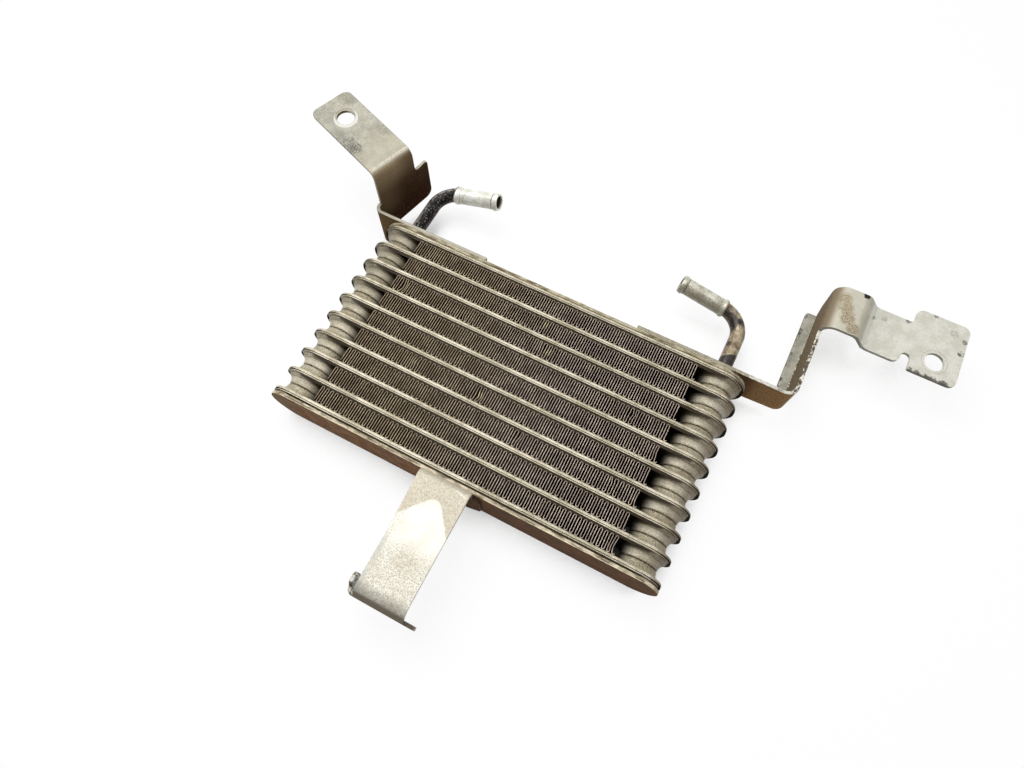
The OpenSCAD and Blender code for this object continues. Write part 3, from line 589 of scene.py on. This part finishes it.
def nipple_tone(f, mount, shadow, dirt, pale, grey):
    """Bare hose nipple with fine turning marks and specks."""
    colour, wide, fine = mottle(f, pale, grey, 5.0)
    colour = f.paint(colour, tone(128, 124, 110), f.step(fine, 0.54, 0.68), 0.6)
    colour = f.paint(colour, tone(112, 104, 86), f.step(f.face_y, -0.05, -0.85), shadow)
    inward = f.from_mouth(mount)
    for middle, width, strength in NIPPLE_LINES:
        colour = f.paint(colour, tone(70, 64, 52), f.line(inward, middle, width), strength)
    smuts = f.overlap(f.step(f.grain(1.3, 3.0, 0.7, (0.7, 0.0, 0.0)), 0.55, 0.62), f.step(f.face_y, 0.2, -0.4))
    colour = f.paint(colour, tone(92, 84, 68), smuts, dirt)
    bore = f.overlap(f.step(f.from_axis(mount), 4.35 * MM, 4.15 * MM), f.step(inward, 0.2 * MM, 1.6 * MM))
    colour = f.paint(colour, f.mix(f.step(wide, 0.4, 0.6), tone(44, 36, 28), tone(84, 74, 56)), bore)
    return colour, wide, fine


def pipe_finished(f, colour, fine, smoothest):
    """A pipe's material: its fine grain also varies the roughness."""
    f.put("Roughness", f.plus(smoothest, fine, 0.25))
    return f.finished(colour, 0.8, 3.0, 0.35, 0.06)


def left_pipe_finish():
    """Left pipe: burnt black bend with a painted highlight streak and painted rim light, bare nipple."""
    f = Finish("left_pipe_stain", metallic=0.15)
    colour, wide, fine = nipple_tone(f, "left_hose_mouth", 0.1, 0.25, tone(246, 246, 238), tone(216, 215, 203))
    burnt = f.step(f.grain(2.5, 4.0, 0.7, stretch=(1.0, 0.5, 1.0)), 0.55, 0.72)
    black = f.mix(burnt, tone(10, 7, 7), tone(74, 66, 63))
    dust = f.step(f.grain(0.9, 2.0, 0.6, (0.5, 0.0, 0.0)), 0.60, 0.66)
    black = f.paint(black, tone(176, 168, 158), dust, 0.7)
    # A painted highlight streak along the bend, broken by grain.
    pale_mark = f.overlap(f.step(f.facing(-0.467, 0.143, 0.873), 0.90, 0.985),
                       f.step(f.grain(1.6, 3.0, 0.7, (0.0, 0.4, 0.0)), 0.40, 0.56))
    black = f.paint(black, tone(186, 178, 170), pale_mark, 0.65)
    # Painted rim light on the upper left side of the bend.
    black = f.paint(black, tone(128, 120, 106), f.step(f.facing(-0.84, 0.45, 0.30), 0.72, 0.92), 0.5)
    brown = f.overlap(f.along_x(-93, -89), f.step(wide, 0.35, 0.6))
    black = f.paint(black, tone(120, 108, 88), brown, 0.7)
    bent = f.along_x(-89.2, -89.9, fine, 1.0)
    f.put("Specular IOR Level", f.plus(0.5, bent, -0.3))
    return pipe_finished(f, f.paint(colour, black, bent), fine, 0.28)


# Black patches on the right pipe's bend: x, y, z and radius.
SCORCHES = (
    (88.8, 101.6, 19, 2.8), (92.2, 98.9, 19.5, 3.2), (95.2, 97.3, 19, 3.2), (94.3, 93.8, 18.5, 2.8),
    (98.4, 98.7, 18, 2.4), (92.6, 91.5, 16, 2.4), (97.4, 83.5, 17, 1.6))


def right_pipe_finish():
    """Right pipe: grey foot, scorched amber bend with black patches, bare nipple."""
    f = Finish("right_pipe_stain", metallic=0.25)
    colour, wide, fine = nipple_tone(f, "right_hose_mouth", 0.6, 0.6, tone(218, 216, 200), tone(176, 172, 154))
    scorch = f.mix(f.step(wide, 0.38, 0.62), tone(180, 165, 138), tone(116, 98, 76))
    scorch = f.paint(scorch, tone(60, 46, 34), f.step(fine, 0.52, 0.66), 0.7)
    pale_mark = f.spot(at(91.6, 103.8, 17.5), 3.0, 2.5, wide, 3.0)
    scorch = f.paint(scorch, tone(202, 196, 180), pale_mark, 0.8)
    ragged = f.grain(1.5, 5.0, 0.85)
    speckled = f.plus(0.6, f.step(fine, 0.62, 0.50), 0.35)
    for x, y, z, radius in SCORCHES:
        patch = f.spot(at(x, y, z), radius, 2.2, ragged, 7.0)
        scorch = f.paint(scorch, tone(30, 22, 20), f.overlap(patch, speckled))
    # Painted shade on the sides that turn away from the top.
    scorch = f.paint(scorch, tone(58, 46, 38), f.step(f.face_z, 0.45, -0.05), 0.55)
    # The grey of the foot ends in a slanting tide line.
    tide = f.plus(f.y, f.math("SUBTRACT", f.x, at(100.2, 0, 0).x), -0.5)
    foot = f.step(tide, at(0, 77.4, 0).y, at(0, 76.2, 0).y)
    scorch = f.paint(scorch, f.mix(f.step(wide, 0.4, 0.6), tone(46, 40, 41), tone(70, 60, 54)), foot)
    bent = f.along_x(86.6, 87.2, fine, -1.0)
    return pipe_finished(f, f.paint(colour, scorch, bent), fine, 0.3)


# ---------------------------------------------------------------- pieces

def add_piece(name, bm, material, slot, *nodes):
    """A visible piece that takes the place of CAD nodes."""
    mesh = bpy.data.meshes.new(name)
    bm.to_mesh(mesh)
    bm.free()
    mesh.materials.append(material)
    piece = bpy.data.objects.new(name, mesh)
    bpy.context.scene.collection.objects.link(piece)
    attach(piece, "root")
    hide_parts(*nodes)
    return piece


def shade_by_angle(bm, degrees):
    """Smooth faces with sharp edges where they turn by more than degrees."""
    for face in bm.faces:
        face.smooth = True
    for edge in bm.edges:
        edge.smooth = not (len(edge.link_faces) == 2 and edge.calc_face_angle(0.0) > math.radians(degrees))


def dressed_copy(node, material, slot, rounding):
    """A merged copy of a CAD node with its sharp edges rounded by rounding millimetres."""
    bm = bmesh.new()
    bm.from_mesh(frame["nodes"][node].data)
    bmesh.ops.remove_doubles(bm, verts=bm.verts, dist=MERGE_WITHIN)
    bmesh.ops.dissolve_limit(bm, angle_limit=math.radians(FLAT_WITHIN), verts=bm.verts, edges=bm.edges)
    shade_by_angle(bm, SHARP_FROM)
    piece = add_piece(node + "_skin", bm, material, slot, node)
    bevel = piece.modifiers.new("rounded_edges", "BEVEL")
    bevel.width = rounding * MM
    bevel.segments = 2
    bevel.limit_method = "ANGLE"
    bevel.angle_limit = math.radians(ROUNDED_FROM)
    bevel.harden_normals = True


# Bruises of the fins' front edges in mm: x, y, reach, push along the tube and push to the back.
BRUISES = (
    (-80.9, 25.8, 3.2, 0.9, 0.5), (-50.5, -12.1, 3.4, -0.9, 0.6), (-10.6, -13.8, 3.0, 0.8, 0.5),
    (6.1, 28.9, 3.2, -0.8, 0.5), (18.7, -23.2, 3.0, 0.8, 0.5), (-40.9, 21.9, 2.4, 0.6, 0.3),
    (86.3, 1.6, 4.2, -0.6, 1.2), (86.7, -26.4, 3.6, -0.5, 1.1), (86.0, -52.9, 4.4, -0.6, 1.3),
    (66.0, 14.0, 2.6, 0.7, 0.4), (72.0, -22.0, 2.8, -0.7, 0.4))

# A fin is drawn to the back in straight layers at both faces and swaying layers between, all in mm.
STRAIGHT_FRONT = (0.8, 2.2)
STRAIGHT_BACK = (2.4, 0.8)
SWAYING_LAYERS = 6
SWAY = 0.7
SWAY_FADES_OVER = 4.0  # towards both ends of the strip
BRUISE_DEPTH = 4.0  # how far behind the front edge the bruises and uneven legs fade out
UNEVENNESS = 0.22
UNEVEN_SCALE = (200, 120)  # noise per metre along the tube and across the row
UNEVEN_ROW_SHIFT = 3.7  # so that no two rows are alike
LEG_PARTS = 3
TURN_STEPS = 6


def verts_in(geometry):
    return [item for item in geometry if isinstance(item, bmesh.types.BMVert)]


def draw_waves(bm, start, radius, leg, waves):
    """The front line of a strip: a vertex drawn and turned through one wave, which is then repeated."""
    tip = bm.verts.new(start)
    for side in (1, -1):
        for _ in range(LEG_PARTS):
            tip = bmesh.ops.extrude_vert_indiv(bm, verts=[tip])["verts"][0]
            tip.co.y += side * leg / LEG_PARTS
        centre = tip.co + Vector((radius, 0, 0))
        turned = bmesh.ops.spin(bm, geom=[tip], cent=centre, axis=(0, 0, 1), angle=-side * math.pi,
                                steps=TURN_STEPS)
        tip = turned["geom_last"][0]
    bmesh.ops.remove_doubles(bm, verts=bm.verts, dist=SAME_POINT / 10)
    one = bm.verts[:] + bm.edges[:]
    for k in range(1, waves):
        more = bmesh.ops.duplicate(bm, geom=one)["geom"]
        bmesh.ops.translate(bm, vec=(k * 4 * radius, 0, 0), verts=verts_in(more))
    bmesh.ops.remove_doubles(bm, verts=bm.verts, dist=SAME_POINT)


def draw_back(bm, front, depth, centre_x, half):
    """The front line drawn to the back of the core in a gentle sway."""
    stride = (depth - (sum(STRAIGHT_FRONT) + sum(STRAIGHT_BACK)) * MM) / SWAYING_LAYERS
    layers = [(drop * MM, 0.0) for drop in STRAIGHT_FRONT]
    layers += [(stride, -SWAY if k % 2 else SWAY) for k in range(SWAYING_LAYERS)]
    layers += [(drop * MM, 0.0) for drop in STRAIGHT_BACK]
    line = bm.edges[:]
    sway_before = 0.0
    for drop, sway in layers:
        made = bmesh.ops.extrude_edge_only(bm, edges=line)["geom"]
        for vert in verts_in(made):
            inside = min(1.0, max(0.0, (half - abs(vert.co.x - centre_x)) / (SWAY_FADES_OVER * MM)))
            vert.co.x += (sway - sway_before) * inside * MM
            vert.co.z -= drop
        # The next line is the open edges that run level and lie behind the front.
        line = [item for item in made if isinstance(item, bmesh.types.BMEdge) and len(item.link_faces) == 1
                and item.verts[0].co.z < front - 10 * SAME_POINT
                and abs(item.verts[0].co.z - item.verts[1].co.z) < SAME_POINT]
        sway_before = sway
    bmesh.ops.recalc_face_normals(bm, faces=bm.faces)


def bruise(bm, number, front, middle, half_height):
    """Legs that are slightly uneven near the front, and the bruises."""
    for vert in bm.verts:
        near_front = max(0.0, 1 - (front - vert.co.z) / (BRUISE_DEPTH * MM))
        mid_leg = max(0.0, 1 - (abs(vert.co.y - middle) / half_height) ** 2)
        here = Vector((vert.co.x * UNEVEN_SCALE[0], vert.co.y * UNEVEN_SCALE[1], number * UNEVEN_ROW_SHIFT))
        vert.co.x += near_front * mid_leg * UNEVENNESS * MM * noise.noise(here)
        for x, y, reach, push, back in BRUISES:
            gap = (vert.co - at(x, y, 0)).xy.length / (reach * MM)
            if gap < 1:
                soft = (1 - gap * gap) ** 2 * near_front
                vert.co.x += push * MM * soft
                vert.co.z -= back * MM * soft


def air_fin(number, material):
    """One corrugated strip between two tubes, of thin sheet, with its bruises."""
    low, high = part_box(f"outer_fin_{number}")
    sheet = FIN_SHEET * MM
    radius = FIN_WAVE * MM / 4
    leg = high.y - low.y - sheet - 2 * radius
    middle = (low.y + high.y) / 2
    waves = round((high.x - low.x) / (FIN_WAVE * MM))
    front = high.z + FIN_STANDS_OUT * MM
    half = waves * 2 * radius
    centre_x = (low.x + high.x) / 2
    bm = bmesh.new()
    draw_waves(bm, (centre_x - half, middle - leg / 2, front), radius, leg, waves)
    draw_back(bm, front, front - low.z, centre_x, half)
    bruise(bm, number, front, middle, leg / 2 + radius)
    for face in bm.faces:
        face.smooth = True
    piece = add_piece(f"air_fin_{number}", bm, material, "fin_aluminium", f"outer_fin_{number}")
    shell = piece.modifiers.new("sheet", "SOLIDIFY")
    shell.thickness = sheet
    shell.offset = 0


tubes = tube_finish()
fins = fin_finish()
end_plates = end_plate_finish()

for i in range(1, TUBES + 1):
    dressed_copy(f"tube_{i}_upper_plate", tubes, "tube_aluminium", TUBE_ROUNDING)
    dressed_copy(f"tube_{i}_lower_plate", tubes, "tube_aluminium", TUBE_ROUNDING)
    inner = frame["nodes"][f"tube_{i}_inner_fin"]
    inner.data.materials.clear()
    inner.data.materials.append(fins)
for i in range(1, TUBES):
    air_fin(i, fins)
for node in ("pipe_side_end_plate", "hook_side_end_plate"):
    dressed_copy(node, end_plates, "tube_aluminium", END_PLATE_ROUNDING)
dressed_copy("left_bracket", left_bracket_finish(), "bracket_aluminium", BRACKET_ROUNDING)
dressed_copy("right_bracket", right_bracket_finish(), "bracket_aluminium", BRACKET_ROUNDING)
dressed_copy("hook_bracket", hook_finish(), "bracket_aluminium", BRACKET_ROUNDING)
dressed_copy("left_pipe", left_pipe_finish(), "stained_pipe", PIPE_ROUNDING)
dressed_copy("right_pipe", right_pipe_finish(), "stained_pipe", PIPE_ROUNDING)


# ---------------------------------------------------------------- stage

FLOOR_REACH = 3.0  # metres from the core's middle to each side
FLOOR_GAP = 0.05  # mm under the core's back
FLOOR_WHITE = 0.9
FLOOR_GLOW = 0.9  # share of plain white that the camera sees in an open place
SHADOW_REACH = 0.04  # metres over which the object darkens the floor
SHADOW_SAMPLES = 4
AMBIENT = 0.24
LENS = 24.24
SENSOR = 36.0
NEAREST = 0.01
CAMERA_PLACE = (67.98, -126.96, 369.44)
CAMERA_AIM = (-0.1793, 0.3448, -0.9214)


def area_light(name, place, target, size, watts):
    lamp = bpy.data.lights.new(name, "AREA")
    lamp.shape = "DISK"
    lamp.size = size
    lamp.energy = watts
    holder = bpy.data.objects.new(name, lamp)
    holder.location = place
    holder.rotation_euler = (target - place).to_track_quat("-Z", "Y").to_euler()
    bpy.context.scene.collection.objects.link(holder)


def white_floor():
    """A pale floor that looks white to the camera and keeps a faint shadow near the object."""
    bm = bmesh.new()
    bmesh.ops.create_grid(bm, x_segments=1, y_segments=1, size=FLOOR_REACH)
    mesh = bpy.data.meshes.new("floor")
    bmesh.ops.translate(bm, vec=at(0, 0, -FLOOR_GAP), verts=bm.verts)
    bm.to_mesh(mesh)
    bm.free()
    floor = bpy.data.objects.new("floor", mesh)
    bpy.context.scene.collection.objects.link(floor)
    f = Finish("pale_floor", roughness=1.0, specular=0.0)
    f.put("Base Color", (FLOOR_WHITE, FLOOR_WHITE, FLOOR_WHITE, 1))
    path = f.tree.nodes.new("ShaderNodeLightPath")
    seen = f.either(*[path.outputs[ray] for ray in ("Is Camera Ray", "Is Glossy Ray", "Is Transmission Ray")])
    covered = f.tree.nodes.new("ShaderNodeAmbientOcclusion")
    covered.samples = SHADOW_SAMPLES
    covered.inputs["Distance"].default_value = SHADOW_REACH
    seen = f.overlap(seen, f.step(covered.outputs["AO"], 0.22, 0.50))
    white = f.tree.nodes.new("ShaderNodeEmission")
    blend = f.tree.nodes.new("ShaderNodeMixShader")
    f.tree.links.new(f.math("MULTIPLY", seen, FLOOR_GLOW), blend.inputs[0])
    f.tree.links.new(f.surface.outputs[0], blend.inputs[1])
    f.tree.links.new(white.outputs[0], blend.inputs[2])
    f.tree.links.new(blend.outputs[0], f.tree.nodes["Material Output"].inputs["Surface"])
    mesh.materials.append(f.material)


def set_world(strength):
    """Even light from all sides, with a background that is white to the camera."""
    world = bpy.data.worlds.new("studio")
    bpy.context.scene.world = world
    world.use_nodes = True
    nodes, links = world.node_tree.nodes, world.node_tree.links
    path = nodes.new("ShaderNodeLightPath")
    level = nodes.new("ShaderNodeMix")
    factor, unseen, seen = level.inputs[0], level.inputs[2], level.inputs[3]
    links.new(path.outputs["Is Camera Ray"], factor)
    unseen.default_value = strength
    seen.default_value = 1.0
    links.new(level.outputs[0], nodes["Background"].inputs["Strength"])
    nodes["Background"].inputs["Color"].default_value = (1, 1, 1, 1)


def set_camera():
    """The photograph's view."""
    data = bpy.data.cameras.new("camera")
    data.lens = LENS
    data.sensor_width = SENSOR
    data.clip_start = NEAREST
    camera = bpy.data.objects.new("camera", data)
    forward = Vector(CAMERA_AIM).normalized()
    right = forward.cross(Vector((0, 0, 1))).normalized()
    up = right.cross(forward)
    turn = Matrix((right, up, -forward)).transposed()
    camera.matrix_world = Matrix.Translation(at(*CAMERA_PLACE)) @ turn.to_4x4()
    bpy.context.scene.collection.objects.link(camera)
    bpy.context.scene.camera = camera


white_floor()
set_world(AMBIENT)
set_camera()
middle = at(20, 0, 15)
area_light("key", at(-350, 180, 900), middle, size=0.8, watts=10)
area_light("fill", at(450, 100, 800), middle, size=0.9, watts=2)

scene = bpy.context.scene
scene.view_settings.view_transform = "Standard"
